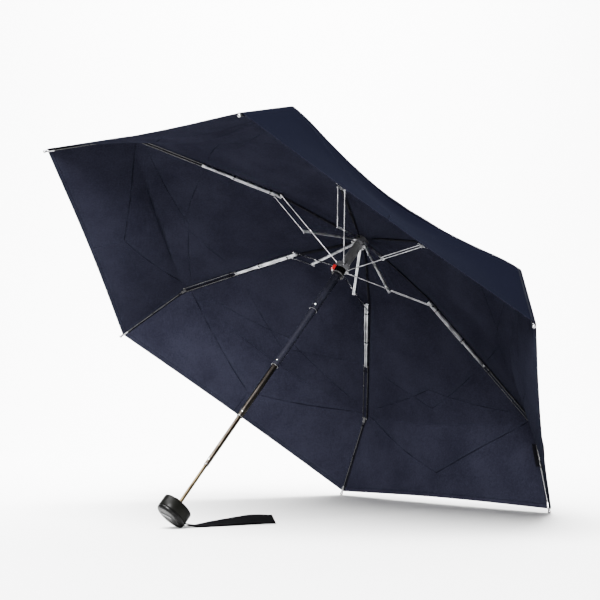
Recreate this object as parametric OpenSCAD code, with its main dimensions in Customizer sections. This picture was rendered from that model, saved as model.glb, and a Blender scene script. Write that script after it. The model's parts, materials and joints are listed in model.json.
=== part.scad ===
// Pocket umbrella, open, lying on the floor on its handle and two rim tips.
// The umbrella is drawn upright first: its shaft runs along Z, the crown is up and the rib
// hinges lie at z = 0. lying() then leans it over until handle and tips both touch the floor.
// Every rib is a chain of five links that folds in its own radial plane. The links sit side
// by side in layers across that plane, so that they pass each other without touching.

/* [Rib pivots, radius and height] */
// Radius of the hinge where an inner rib meets the top notch
notch_r = 9.5; // [9.5:0.1:11]
// Radius of the lever feet in the runner
runner_r = 10.2; // [10.2:0.1:11]
// Height of the runner's pivots below the notch hinges, umbrella open
runner_drop = 53.5; // [50:0.5:58]
// Radius at which the lever crosses the inner rib
elbow_r = 70; // [66:1:74]
// Radius of the knee, where the lever carries the middle rib
knee_r = 137; // [130:1:142]
// Drop of the knee below the notch hinges
knee_drop = 15; // [12:1:18]
// Radius of the second knee
knee2_r = 255; // [248:1:260]
// Drop of the second knee
knee2_drop = 49; // [45:1:53]
// Radius of the bend, where the end rib starts
bend_r = 363; // [355:1:368]
// Drop of the bend
bend_drop = 81; // [77:1:85]
// Radius of the centre of the tip ball
tip_r = 448; // [440:1:452]
// Drop of the tip ball
tip_drop = 183; // [176:1:188]

/* [Shaft] */
// Outer radius of the top tube, the widest
tube_r = 6.2; // [6:0.1:6.4]
// Step in outer radius from one tube to the next
tube_step = 0.9; // [0.85:0.01:0.95]
// Wall of each tube
tube_wall = 0.5; // [0.4:0.05:0.5]
// Heights of the tube mouths below the notch hinges, umbrella open
mouth_drops = [139.5, 248.5, 344, 432, 498];
// Length of each inner tube that stays inside the next one when it is drawn out
tube_overlap = 13; // [13:0.5:14]

/* [Handle] */
// Half of the handle's long width
handle_rx = 24; // [22:0.1:25]
// Half of the handle's short width
handle_ry = 17.5; // [15:0.1:18]
// Height of the handle along the shaft
handle_h = 26; // [24:0.5:30]
// Rounding radius of the handle's lower edge
handle_round = 4; // [3:0.5:5]

/* [Canopy] */
// Thickness of the cloth solid
cloth_t = 1; // [0.8:0.1:1.2]
// Gap from a rib's centre line to the cloth
cloth_gap = 3.4; // [3.2:0.1:3.8]
// How far the cloth corner stops short of the tip ball's centre
corner_short = 4; // [4:0.5:8]
// How far the cloth sags inwards midway between two ribs, where it sags most
cloth_sag = 27; // [20:1:30]
// How far the hem draws in midway between two tips
hem_draw = 5; // [3:0.5:8]

/* [Wrist strap] */
// Width of the ribbon
strap_w = 12; // [10:0.5:14]
// Thickness of the ribbon
strap_t = 0.8; // [0.6:0.1:1]

/* [Hidden] */
$fn = 32;

rib_count = 6;
rib_pitch = 360 / rib_count;
pin_r = 0.6;
hole_r = 0.65;
rivet_r = 1.2;
rivet_t = 0.4;

// Layers across a rib's plane: half widths, or centre offset and radius
inner_half = 1.6;
inner_high = 2.8;
inner_wall = 0.5;
middle_half = 2.6;
middle_high = 3.6;
middle_wall = 0.5;
middle_narrow_half = 1.8;
middle_narrow_high = 2.8;
lever_y = 4.6;
lever_wire_r = 0.9;
link_y = -3.5;
link_wire_r = 0.8;
outer_y = 3.4;
outer_wire_r = 0.6;
end_wire_r = 1;
end_block_half = 2.2;
fork_length = 8;
eye_r = 1.6;
link_eye_r = 1.4;
small_eye_r = 1.2;

// Rib geometry that follows from the pivots
lever_angle = atan2(runner_drop - knee_drop, knee_r - runner_r);
lever_length = norm([knee_r - runner_r, runner_drop - knee_drop]);
elbow_drop = runner_drop - (elbow_r - runner_r) * tan(lever_angle);
foot_to_elbow = (elbow_r - runner_r) / cos(lever_angle);
link_length = lever_length - foot_to_elbow;
inner_angle = -atan2(elbow_drop, elbow_r - notch_r);
inner_length = norm([elbow_r - notch_r, elbow_drop]);
middle_angle = -atan2(knee2_drop - knee_drop, knee2_r - knee_r);
middle_length = norm([knee2_r - knee_r, knee2_drop - knee_drop]);
outer_angle = -atan2(bend_drop - knee2_drop, bend_r - knee2_r);
outer_length = norm([bend_r - knee2_r, bend_drop - knee2_drop]);
end_angle = -atan2(tip_drop - bend_drop, tip_r - bend_r);
end_length = norm([tip_r - bend_r, tip_drop - bend_drop]);
tip_ball_r = 2.2;
tip_sleeve_r = 1.6;
tip_sleeve_length = 11;
middle_wide_length = 78;

// Shaft
tube_count = 5;
cap_gap = 0.3;
cap_r = 9;
clip_above_mouth = 9;
clip_stud_r = 1.4;
clip_proud = 0.15;
clip_turn = 200;

// Runner, measured from its pivots
runner_gap = 0.4;
runner_wall = 0.6;
collar_up = 4;
collar_down = 2.2;
collar_r = 11.8;
runner_down = 15;
flange_r = 9.4;
flange_high = 2.4;
slot_in = 7.2;
groove_in = 6.2;
button_turn = 151;
button_half = 2;
button_in = 9;
button_out = 12.4;
housing_in = 5;
housing_out = 9.2;
spring_in = 7.6;

// Length of a cutter that runs right through a piece
through = 40;

// Handle
handle_top = -mouth_drops[4];
handle_bottom = handle_top - handle_h;
end_cap_high = 5;
handle_groove = 0.4;
dome_high = 3.5;
tube_depth = 12;
screw_head_r = 3.6;
screw_head_low = handle_bottom + 8;
inlay_t = 0.8;
inlay_half = 5;
inlay_turn = -50;

// The lean: the tip balls and the handle's rounded lower edge touch one plane
contact_run = tip_r * cos(rib_pitch / 2) - (handle_rx - handle_round);
contact_rise = -tip_drop - (handle_bottom + handle_round);
lean = acos((tip_ball_r - handle_round) / norm([contact_run, contact_rise]))
    - atan2(contact_run, contact_rise);
function row_x(x, z) = x * cos(lean) + z * sin(lean);
function row_z(x, z) = z * cos(lean) - x * sin(lean);
notch_height = tip_ball_r - row_z(tip_r * cos(rib_pitch / 2), -tip_drop);
// The box reaches from the upper tip balls to the cloth over the lower bends
cloth_out = cloth_gap + cloth_t;
bend_normal = (outer_angle + end_angle) / 2;
box_low_x = row_x(-tip_r * cos(rib_pitch / 2), -tip_drop) - tip_ball_r;
box_high_x = row_x((bend_r - cloth_out * sin(bend_normal)) * cos(rib_pitch / 2),
    -bend_drop + cloth_out * cos(bend_normal));
notch_x = -(box_low_x + box_high_x) / 2;

module lying() translate([notch_x, 0, notch_height]) rotate([0, lean, 0]) children();
module on_rib(k) rotate([0, 0, rib_pitch * (k - 0.5)]) children();
// A link is drawn from its own pivot along X, with Y across the rib's plane
module link_at(r, drop, angle) translate([r, 0, -drop]) rotate([0, -angle, 0]) children();
module rib_part(k, r, drop, angle) lying() on_rib(k) link_at(r, drop, angle) children();

module across(x, y0, y1, r, z = 0)
    translate([x, y0, z]) rotate([-90, 0, 0]) cylinder(r = r, h = y1 - y0);
module along(x0, x1, y, r) translate([x0, y, 0]) rotate([0, 90, 0]) cylinder(r = r, h = x1 - x0);
module slab(x0, x1, half, z0, z1) translate([x0, -half, z0]) cube([x1 - x0, 2 * half, z1 - z0]);
module channel(x0, x1, half, high, wall) {
    difference() {
        slab(x0, x1, half, -high / 2, high / 2);
        slab(x0 - 1, x1 + 1, half - wall, -high / 2 - 1, high / 2 - wall);
    }
}

// ---- ribs ----
module inner_rib(k) color("lightgray") rib_part(k, notch_r, 0, inner_angle) {
    difference() {
        union() {
            channel(3.5, inner_length + fork_length + eye_r + 0.8, inner_half, inner_high, inner_wall);
            slab(0, 5, 1.2, -1.1, 1.4);
            across(0, -1.2, 1.2, 1.4);
        }
        across(0, -3, 3, hole_r);
        across(inner_length, -3, 3, hole_r);
        across(inner_length + fork_length, -3, 3, hole_r);
    }
}

module lever(k) color("silver") rib_part(k, runner_r, runner_drop, lever_angle) {
    along(0, lever_length, lever_y, lever_wire_r);
    across(0, lever_y - lever_wire_r, lever_y + lever_wire_r, small_eye_r);
    for (x = [foot_to_elbow, lever_length]) {
        across(x, lever_y - lever_wire_r, lever_y + lever_wire_r, eye_r);
        across(x, lever_y, lever_y + lever_wire_r + rivet_t, rivet_r);
    }
    across(foot_to_elbow, -inner_half - 0.3, lever_y, pin_r);
    across(lever_length, -middle_half, lever_y, pin_r);
}

module link_wire(k) color("silver")
    rib_part(k, notch_r + (inner_length + fork_length) * cos(inner_angle),
        -(inner_length + fork_length) * sin(inner_angle), lever_angle) {
        along(0, link_length, link_y, link_wire_r);
        for (x = [0, link_length]) across(x, link_y - link_wire_r, link_y + link_wire_r, link_eye_r);
        across(0, link_y, inner_half + 0.3, pin_r);
    }

module middle_rib(k) color("gainsboro") rib_part(k, knee_r, knee_drop, middle_angle) {
    difference() {
        union() {
            channel(-2.4, middle_wide_length, middle_half, middle_high, middle_wall);
            channel(middle_wide_length - 2, middle_length + 2.4, middle_narrow_half,
                middle_narrow_high, middle_wall);
            slab(middle_wide_length - 2, middle_wide_length, middle_half, 1, middle_high / 2);
        }
        across(0, -4, 4, hole_r);
        across(middle_length, -4, 4, hole_r);
    }
}

module outer_link(k) color("dimgray") rib_part(k, knee2_r, knee2_drop, outer_angle) {
    for (side = [-1, 1]) {
        along(0, outer_length, side * outer_y, outer_wire_r);
        for (x = [0, outer_length])
            across(x, side * outer_y - outer_wire_r, side * outer_y + outer_wire_r, small_eye_r);
    }
    for (x = [0, outer_length]) across(x, -outer_y, outer_y, pin_r);
}

module end_rib(k) color("darkgray") rib_part(k, bend_r, bend_drop, end_angle) {
    difference() {
        union() {
            slab(-1.5, 7, end_block_half, -1.5, 1.5);
            along(5, end_length, 0, end_wire_r);
        }
        across(0, -4, 4, hole_r);
    }
    along(end_length - tip_sleeve_length, end_length, 0, tip_sleeve_r);
    translate([end_length, 0, 0]) sphere(r = tip_ball_r);
}

// ---- crown and notch ----
notch_out_r = 12;
notch_low = -4.5;
notch_high = 5;
slot_half = 1.9;
slot_top = 2.5;
// The wire ring that threads the six ribs; it bends 0.08 away from a straight pin within a rib
ring_r = 0.55;
ring_centre_r = notch_r + 0.04;
module top_notch() color("dimgray") lying() difference() {
    translate([0, 0, notch_low]) cylinder(r = notch_out_r, h = notch_high - notch_low);
    translate([0, 0, notch_low - 1]) cylinder(r = tube_r + 0.05, h = through);
    for (k = [1:rib_count]) on_rib(k) {
        translate([notch_r - eye_r - 0.3, -slot_half, notch_low - 1])
            cube([through, 2 * slot_half, slot_top - notch_low + 1]);
    }
    notch_ring(ring_r + 0.15);
}

module notch_ring(r) rotate_extrude() translate([ring_centre_r, 0]) circle(r = r);
module notch_wire() color("silver") lying() notch_ring(ring_r);

cap_low = notch_high + 2 * cap_gap + cloth_t;
module crown_cap() color("black") lying() {
    translate([0, 0, cap_low]) cylinder(r = cap_r, h = 1.4);
    translate([0, 0, cap_low + 1.4]) intersection() {
        translate([0, 0, -8]) sphere(r = 12);
        cylinder(r = cap_r - 1, h = 8);
    }
    translate([0, 0, -6]) cylinder(r = tube_r - tube_wall - 0.1, h = cap_low + 6.5);
}

// ---- shaft ----
function tube_out(i) = tube_r - tube_step * (i - 1);
function tube_in(i) = tube_out(i) - tube_wall;
function mouth(i) = -mouth_drops[i - 1];
function tube_low(i) = i == tube_count ? mouth(i) - tube_depth : mouth(i);
function tube_top(i) = i == 1 ? notch_high + cap_gap + cloth_t : mouth(i - 1) + tube_overlap;
function clip_z(i) = mouth(i - 1) + clip_above_mouth;

module clip_side(z) rotate([0, 0, clip_turn]) translate([0, 0, z]) rotate([0, 90, 0]) children();
module tube(i) lying() difference() {
    translate([0, 0, tube_low(i)]) cylinder(r = tube_out(i), h = tube_top(i) - tube_low(i));
    translate([0, 0, tube_low(i) - 1]) cylinder(r = tube_in(i), h = tube_top(i) - tube_low(i) + 2);
    if (i < tube_count) clip_side(clip_z(i + 1)) cylinder(r = clip_stud_r + 0.15, h = through);
    if (i > 1) clip_side(clip_z(i)) cylinder(r = clip_stud_r + 0.1, h = through);
}
module tube_1() color("dimgray") tube(1);
module tube_2() color("dimgray") tube(2);
module tube_3() color("gray") tube(3);
module tube_4() color("tan") tube(4);
module tube_5() color("darkkhaki") tube(5);

// A spring leaf inside a tube, with a stud that looks out through its own wall and the next
module snap_clip(i) color("white") lying() {
    rotate([0, 0, clip_turn]) translate([tube_in(i) - 1.2, -0.9, clip_z(i) - 3])
        cube([0.4, 1.8, 6.5]);
    clip_side(clip_z(i)) {
        translate([0, 0, tube_in(i) - 1])
            cylinder(r = clip_stud_r, h = tube_out(i - 1) + clip_proud - tube_in(i) + 0.5);
        translate([0, 0, tube_out(i - 1) + clip_proud - 0.5])
            cylinder(r1 = clip_stud_r, r2 = 0.7, h = 0.5);
    }
}

// ---- runner ----
runner_in = tube_r + runner_gap;
runner_out = runner_in + runner_wall;
runner_low = -runner_drop - runner_down;
button_low = runner_low + flange_high + 0.4;
button_high = -runner_drop - collar_down - 0.6;
module lever_slots(inner, z0, z1) for (k = [1:rib_count]) on_rib(k)
    translate([inner, lever_y - 1.4, z0]) cube([through, 2.8, z1 - z0]);
module runner_collar() color("gray") lying() difference() {
    translate([0, 0, -runner_drop - collar_down]) cylinder(r = collar_r, h = collar_up + collar_down);
    translate([0, 0, -runner_drop - through / 2]) cylinder(r = runner_out + 0.1, h = through);
    lever_slots(slot_in, -runner_drop - 6, -runner_drop + 6);
}
module button_side() rotate([0, 0, button_turn]) children();
module runner() color("black") lying() difference() {
    union() {
        translate([0, 0, runner_low]) cylinder(r = runner_out, h = runner_down + collar_up - 1);
        translate([0, 0, runner_low]) cylinder(r = flange_r, h = flange_high);
        for (z = [button_low + 1.5:2:button_high]) translate([0, 0, z])
            cylinder(r = runner_out + 0.25, h = 0.9);
        button_side() translate([housing_in, -button_half - 1, button_low - 1])
            cube([housing_out - housing_in, 2 * button_half + 2, button_high - button_low + 1.4]);
    }
    translate([0, 0, runner_low - 1]) cylinder(r = runner_in, h = through);
    lever_slots(groove_in, runner_low - 1, -runner_drop - collar_down);
    button_side() translate([spring_in - 0.1, -button_half - 0.2, button_low])
        cube([through, 2 * button_half + 0.4, button_high - button_low]);
}
module runner_button() color("red") lying() button_side()
    translate([button_in, -button_half, button_low + 0.2])
        cube([button_out - button_in, 2 * button_half, button_high - button_low - 0.4]);
module button_spring() color("silver") lying() button_side()
    translate([spring_in, 0, (button_low + button_high) / 2]) rotate([0, 90, 0]) difference() {
        cylinder(r = 1.6, h = button_in - spring_in - 0.1);
        translate([0, 0, -1]) cylinder(r = 1.2, h = through);
    }

// ---- handle ----
plate_t = 0.2;
module oval_plate(z, inset) translate([0, 0, z]) linear_extrude(plate_t)
    scale([(handle_rx - inset) / (handle_ry - inset), 1]) circle(r = handle_ry - inset);
module handle_body() color("black") difference() {
    lying() difference() {
        hull() {
            oval_plate(handle_top - plate_t, 12);
            oval_plate(handle_top - dome_high * 0.35 - plate_t, 7);
            oval_plate(handle_top - dome_high - plate_t, 1.4);
            oval_plate(handle_top - dome_high - 2 - plate_t, 0);
            oval_plate(handle_bottom + end_cap_high + handle_groove, 0);
        }
        translate([0, 0, handle_top - tube_depth - 0.2]) cylinder(r = tube_out(5) + 0.05, h = through);
        translate([0, 0, handle_bottom]) cylinder(r = 2, h = handle_h);
        translate([0, 0, handle_bottom]) cylinder(r = screw_head_r + 0.3, h = 10.2);
    }
    strap_slot();
}
module handle_screw() color("silver") lying() {
    translate([0, 0, screw_head_low]) cylinder(r = screw_head_r, h = 2);
    translate([0, 0, screw_head_low + 1]) cylinder(r = 1.9, h = 11);
}
module inlay_shape(grow, h) {
    translate([-inlay_half, -3 - grow, 0]) cube([2 * inlay_half, 6 + 2 * grow, h]);
    for (x = [-inlay_half, inlay_half]) translate([x, 0, 0]) cylinder(r = 3 + grow, h = h);
}
module at_inlay() translate([0, 0, handle_bottom]) rotate([0, 0, inlay_turn])
    translate([-5, 0, 0]) children();
module handle_end_cap() color("black") difference() {
    lying() difference() {
        union() {
            hull() {
                for (a = [0:22.5:90])
                    oval_plate(handle_bottom + handle_round * (1 - sin(a)),
                        handle_round * (1 - cos(a)));
                oval_plate(handle_bottom + end_cap_high - plate_t, 0);
            }
            translate([0, 0, handle_bottom + 3]) cylinder(r = screw_head_r, h = 4.6);
        }
        at_inlay() translate([0, 0, -1]) inlay_shape(0.05, 1 + inlay_t);
    }
    strap_slot();
}
module end_inlay() color("silver") lying() at_inlay() inlay_shape(0, inlay_t);

// ---- strap: a ribbon loop that runs round a pin in the end cap and out along the floor ----
strap_pin_r = 0.7;
strap_heading = -41;
// Along the floor: X, Y, least height, lean of the ribbon from flat, half gap of the loop, and
// how much of the ribbon's full width is spread out
strap_route = [
    [-223.5, -2, 4.2, 0, 1.3, 0.45], [-218, -6.8, 4.2, 0, 1.3, 0.45], [-212, -11, 3.4, 0, 0.8, 0.5],
    [-204, -15, 2, 0, 0.6, 0.75], [-194, -18.5, 1, 0, 0.6, 0.92], [-182, -22, 1, 4, 0.6, 1],
    [-170, -26, 1, 14, 0.8, 1], [-158, -30, 1, 28, 1.2, 1], [-146, -34, 1, 42, 2, 1],
    [-134, -38, 1, 56, 3, 1], [-122, -43, 1, 68, 4, 1], [-110, -48, 1, 78, 4, 1],
    [-103, -51, 1, 84, 3, 1]
];
strap_last = len(strap_route) - 1;
floor_gap = 0.2;
turn_steps = 4;
function route(i) = strap_route[max(0, min(strap_last, i))];
function spread(p) = p[5] * strap_w / 2;
function strap_height(p) = max(p[2],
    spread(p) * sin(p[3]) + (p[4] + strap_t / 2) * cos(p[3]) + floor_gap);
function flat_heading(i) = let (d = route(i + 1) - route(i - 1)) [d[0], d[1], 0] / norm([d[0], d[1]]);
function ribbon_width(i) = let (h = flat_heading(i), a = route(i)[3])
    cos(a) * [-h[1], h[0], 0] + [0, 0, sin(a)];
function ribbon_normal(i) = cross(flat_heading(i), ribbon_width(i));
// A station is a centre and a width vector; the two plies lie on either side of the route
function station(i, ahead, aside) = let (p = route(i))
    [[p[0], p[1], strap_height(p)] + ahead * flat_heading(i) + aside * ribbon_normal(i),
        ribbon_width(i) * spread(p)];
function ply(side, i) = station(i, 0, side * route(i)[4]);
function turn(i, a) = station(i, route(i)[4] * sin(a), route(i)[4] * cos(a));
strap_stations = concat(
    [for (i = [0:strap_last]) ply(1, i)],
    [for (j = [1:turn_steps - 1]) turn(strap_last, 180 * j / turn_steps)],
    [for (i = [strap_last:-1:0]) ply(-1, i)],
    [for (j = [1:turn_steps - 1]) turn(0, 180 + 180 * j / turn_steps)]
);
function unit(v) = v / norm(v);
module closed_ribbon(stations, thick) {
    n = len(stations);
    points = [for (i = [0:n - 1])
        let (a = stations[(i + n - 1) % n][0], c = stations[(i + 1) % n][0],
            s = stations[i], up = unit(cross(s[1], c - a)) * thick / 2)
        each [s[0] + s[1] + up, s[0] + s[1] - up, s[0] - s[1] - up, s[0] - s[1] + up]];
    faces = [for (i = [0:n - 1]) let (b = 4 * i, t = 4 * ((i + 1) % n))
        for (j = [0:3]) let (m = (j + 1) % 4) each [[b + j, b + m, t + m], [b + j, t + m, t + j]]];
    polyhedron(points, faces);
}
module at_strap_pin() translate([route(0)[0], route(0)[1], strap_height(route(0))])
    rotate([0, 0, strap_heading]) children();
// The slot for the ribbon's folded end, and the hole of the pin across it
module strap_slot() at_strap_pin() {
    translate([-2.6, -3.1, -2]) cube([20, 6.2, 4.2]);
    across(0, -8, 8, strap_pin_r + 0.05);
}
module strap_pin() color("silver") at_strap_pin() across(0, -5.5, 5.5, strap_pin_r);
module strap() color("black") closed_ribbon(strap_stations, strap_t);

// ---- canopy: six gores stretched between the ribs, sagging a little in between ----
corner_r = tip_r - corner_short * cos(end_angle);
corner_drop = tip_drop + corner_short * sin(end_angle);
// The cloth line over a rib: radius, drop and slope of the rib below it, and the share of the
// sag that the cloth has at that radius, midway to the next rib
rib_line = [
    [(tube_r + cap_gap) / cos(rib_pitch / 2), cloth_gap - notch_high - cap_gap, 0, 0],
    [notch_out_r / cos(rib_pitch / 2), cloth_gap - notch_high - cap_gap, 0, 0],
    [45, 1.5, -9, 0.01], [90, 8, -9, 0.04],
    [knee_r, knee_drop, (middle_angle - 9) / 2, 0.09],
    [196, 32, middle_angle, 0.18],
    [knee2_r, knee2_drop, (middle_angle + outer_angle) / 2, 0.27],
    [309, 65, outer_angle, 0.42], [bend_r - 14, bend_drop - 4.2, outer_angle, 0.8],
    [bend_r, bend_drop, bend_normal, 0.94], [bend_r + 9, bend_drop + 11, end_angle, 1],
    [bend_r + 42, bend_drop + 50.4, end_angle, 0.7],
    [bend_r + 62, bend_drop + 74.4, end_angle, 0.4],
    [corner_r, corner_drop, end_angle, 0.14]
];
line_last = len(rib_line) - 1;
// Stations across a gore: the cloth lies straight beside a rib, and sags between
rib_band = 0.03;
gore_stations = [0, rib_band, 1/6, 1/3, 1/2, 2/3, 5/6, 1 - rib_band];
gore_steps = len(gore_stations);
ring_steps = rib_count * gore_steps;
function belly(v) = max(0, v * (1 - v) - rib_band * (1 - rib_band))
    / (0.25 - rib_band * (1 - rib_band));
// A point of the cloth: line station i, step j round the crown, height off above the inner face
function cloth_point(i, j, off) = let (
        s = rib_line[i], k = floor(j / gore_steps), v = gore_stations[j % gore_steps],
        draw = i == line_last ? hem_draw * belly(v) : 0,
        up = cloth_gap + off,
        r = s[0] - up * sin(s[2]) - draw * cos(s[2]),
        sag = cloth_sag * s[3] * belly(v),
        a = rib_pitch * (k - 0.5), b = a + rib_pitch,
        x = r * (cos(a) * (1 - v) + cos(b) * v), y = r * (sin(a) * (1 - v) + sin(b) * v),
        pull = 1 + sag * sin(s[2]) / norm([x, y]))
    [x * pull, y * pull, -s[1] + (up - sag) * cos(s[2]) - draw * sin(s[2])];
module cloth(first, last, low, high) {
    rows = last - first + 1;
    function at(i, j, top) = (top * rows + i) * ring_steps + j % ring_steps;
    polyhedron(
        [for (top = [0, 1], i = [first:last], j = [0:ring_steps - 1])
            cloth_point(i, j, top == 1 ? high : low)],
        [for (j = [0:ring_steps - 1]) each concat(
            [for (i = [0:rows - 2]) each [
                [at(i, j, 1), at(i, j + 1, 1), at(i + 1, j + 1, 1)],
                [at(i, j, 1), at(i + 1, j + 1, 1), at(i + 1, j, 1)],
                [at(i, j, 0), at(i + 1, j + 1, 0), at(i, j + 1, 0)],
                [at(i, j, 0), at(i + 1, j, 0), at(i + 1, j + 1, 0)]]],
            [[at(0, j, 0), at(0, j + 1, 0), at(0, j + 1, 1)], [at(0, j, 0), at(0, j + 1, 1), at(0, j, 1)],
                [at(rows - 1, j, 1), at(rows - 1, j + 1, 1), at(rows - 1, j + 1, 0)],
                [at(rows - 1, j, 1), at(rows - 1, j + 1, 0), at(rows - 1, j, 0)]])]);
}
module canopy() color("midnightblue") lying() cloth(0, line_last, 0, cloth_t);

// A short tab with a press stud, outside the hem, that closes round the folded umbrella
band_ring = 5 * gore_steps + 5;
band_half = 14;
band_deep = 13;
band_past = 3;
function out_and_up(p) = [norm([p[0], p[1]]), p[2]];
band_run = out_and_up(cloth_point(line_last, band_ring, 0))
    - out_and_up(cloth_point(line_last - 1, band_ring, 0));
panel_angle = atan2(band_run[1], band_run[0]);
module closure_band() color("black") lying()
    translate(cloth_point(line_last, band_ring, cloth_t + 0.6))
        rotate([0, 0, 5 * rib_pitch]) rotate([0, -panel_angle, 0]) {
            slab(-band_deep, band_past, band_half, 0, 1);
            translate([-5, 0, 0]) cylinder(r = 3.5, h = 1.8);
        }

crown_cap();
top_notch();
notch_wire();
inner_rib(1);  // inner_rib_1
inner_rib(2);  // inner_rib_2
inner_rib(3);  // inner_rib_3
inner_rib(4);  // inner_rib_4
inner_rib(5);  // inner_rib_5
inner_rib(6);  // inner_rib_6
lever(1);  // lever_1
lever(2);  // lever_2
lever(3);  // lever_3
lever(4);  // lever_4
lever(5);  // lever_5
lever(6);  // lever_6
link_wire(1);  // link_wire_1
link_wire(2);  // link_wire_2
link_wire(3);  // link_wire_3
link_wire(4);  // link_wire_4
link_wire(5);  // link_wire_5
link_wire(6);  // link_wire_6
middle_rib(1);  // middle_rib_1
middle_rib(2);  // middle_rib_2
middle_rib(3);  // middle_rib_3
middle_rib(4);  // middle_rib_4
middle_rib(5);  // middle_rib_5
middle_rib(6);  // middle_rib_6
outer_link(1);  // outer_link_1
outer_link(2);  // outer_link_2
outer_link(3);  // outer_link_3
outer_link(4);  // outer_link_4
outer_link(5);  // outer_link_5
outer_link(6);  // outer_link_6
end_rib(1);  // end_rib_1
end_rib(2);  // end_rib_2
end_rib(3);  // end_rib_3
end_rib(4);  // end_rib_4
end_rib(5);  // end_rib_5
end_rib(6);  // end_rib_6
runner();
runner_collar();
runner_button();
button_spring();
tube_1();
tube_2();
tube_3();
tube_4();
tube_5();
snap_clip(2);  // snap_clip_2
snap_clip(3);  // snap_clip_3
snap_clip(4);  // snap_clip_4
snap_clip(5);  // snap_clip_5
handle_body();
handle_end_cap();
handle_screw();
end_inlay();
strap_pin();
strap();
canopy();
closure_band();
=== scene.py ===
"""An open pocket umbrella on a pale floor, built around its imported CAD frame."""

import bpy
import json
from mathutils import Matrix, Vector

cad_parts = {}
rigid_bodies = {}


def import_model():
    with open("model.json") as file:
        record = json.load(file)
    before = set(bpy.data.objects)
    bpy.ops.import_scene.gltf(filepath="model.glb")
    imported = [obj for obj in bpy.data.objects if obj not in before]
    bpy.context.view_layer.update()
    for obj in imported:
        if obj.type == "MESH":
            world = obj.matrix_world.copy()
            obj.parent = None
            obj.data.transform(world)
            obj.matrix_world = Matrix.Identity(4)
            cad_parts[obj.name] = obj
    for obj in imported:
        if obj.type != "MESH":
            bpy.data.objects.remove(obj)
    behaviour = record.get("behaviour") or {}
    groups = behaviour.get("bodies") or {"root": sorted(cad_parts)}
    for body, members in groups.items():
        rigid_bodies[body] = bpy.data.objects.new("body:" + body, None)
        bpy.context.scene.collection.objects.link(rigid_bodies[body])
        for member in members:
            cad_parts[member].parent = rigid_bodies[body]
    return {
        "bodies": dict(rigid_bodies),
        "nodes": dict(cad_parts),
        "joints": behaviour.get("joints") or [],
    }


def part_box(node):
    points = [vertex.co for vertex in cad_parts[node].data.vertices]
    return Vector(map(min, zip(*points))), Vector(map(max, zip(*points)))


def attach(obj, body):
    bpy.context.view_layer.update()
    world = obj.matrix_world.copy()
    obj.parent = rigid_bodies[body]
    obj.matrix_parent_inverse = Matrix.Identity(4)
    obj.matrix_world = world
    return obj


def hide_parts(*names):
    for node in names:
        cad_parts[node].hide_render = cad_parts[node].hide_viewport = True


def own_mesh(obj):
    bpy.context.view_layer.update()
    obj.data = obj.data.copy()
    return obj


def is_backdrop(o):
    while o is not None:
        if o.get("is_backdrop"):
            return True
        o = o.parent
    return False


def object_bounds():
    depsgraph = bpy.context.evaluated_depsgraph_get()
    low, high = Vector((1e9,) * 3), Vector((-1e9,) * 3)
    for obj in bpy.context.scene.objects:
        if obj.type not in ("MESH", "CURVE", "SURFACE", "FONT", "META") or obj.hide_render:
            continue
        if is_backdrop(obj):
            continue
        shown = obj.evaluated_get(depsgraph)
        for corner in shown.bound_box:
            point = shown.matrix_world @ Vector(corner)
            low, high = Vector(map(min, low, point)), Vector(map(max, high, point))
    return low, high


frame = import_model()
cad_low, cad_high = (corner.copy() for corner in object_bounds())

import json
import math

import bpy
import numpy as np
from mathutils import Matrix, Vector

MM = 0.001
RIBS = 6
BODIES = frame["bodies"]
NODES = frame["nodes"]
JOINTS = {j["name"]: j for j in frame["joints"]}

# ---- the umbrella's own axes, taken from its joints: z up the shaft, y across ----
UP = -np.array(JOINTS["runner_slide"]["axis"])
ACROSS = np.array([0.0, 1.0, 0.0])
AHEAD = np.cross(ACROSS, UP)
NOTCH = np.mean([JOINTS[f"inner_rib_{k}_hinge"]["pos_m"] for k in range(1, RIBS + 1)], axis=0)
AXES = np.array([AHEAD, ACROSS, UP])


def row(points):
    """Points in the umbrella's axes, in millimetres, to the row frame, in metres."""
    return np.asarray(points, float) @ AXES * MM + NOTCH


def turned(direction):
    """A direction in the umbrella's axes to the row frame."""
    return np.asarray(direction, float) @ AXES


def rib_angle(k):
    """The angle of rib k round the shaft."""
    return math.radians(60 * (k - 0.5))


def radial(k):
    """The unit direction outward along rib k."""
    return np.array([math.cos(rib_angle(k)), math.sin(rib_angle(k)), 0.0])


def tangent(k):
    """The unit direction across rib k, to its left."""
    return np.array([-math.sin(rib_angle(k)), math.cos(rib_angle(k)), 0.0])


def rib_points(k, r, y, z):
    """Points at radius r and height z over rib k, y to its left, in the umbrella's axes."""
    r, y, z = np.broadcast_arrays(*[np.asarray(v, float) for v in (r, y, z)])
    return r[..., None] * radial(k) + y[..., None] * tangent(k) + z[..., None] * [0, 0, 1]


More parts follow.
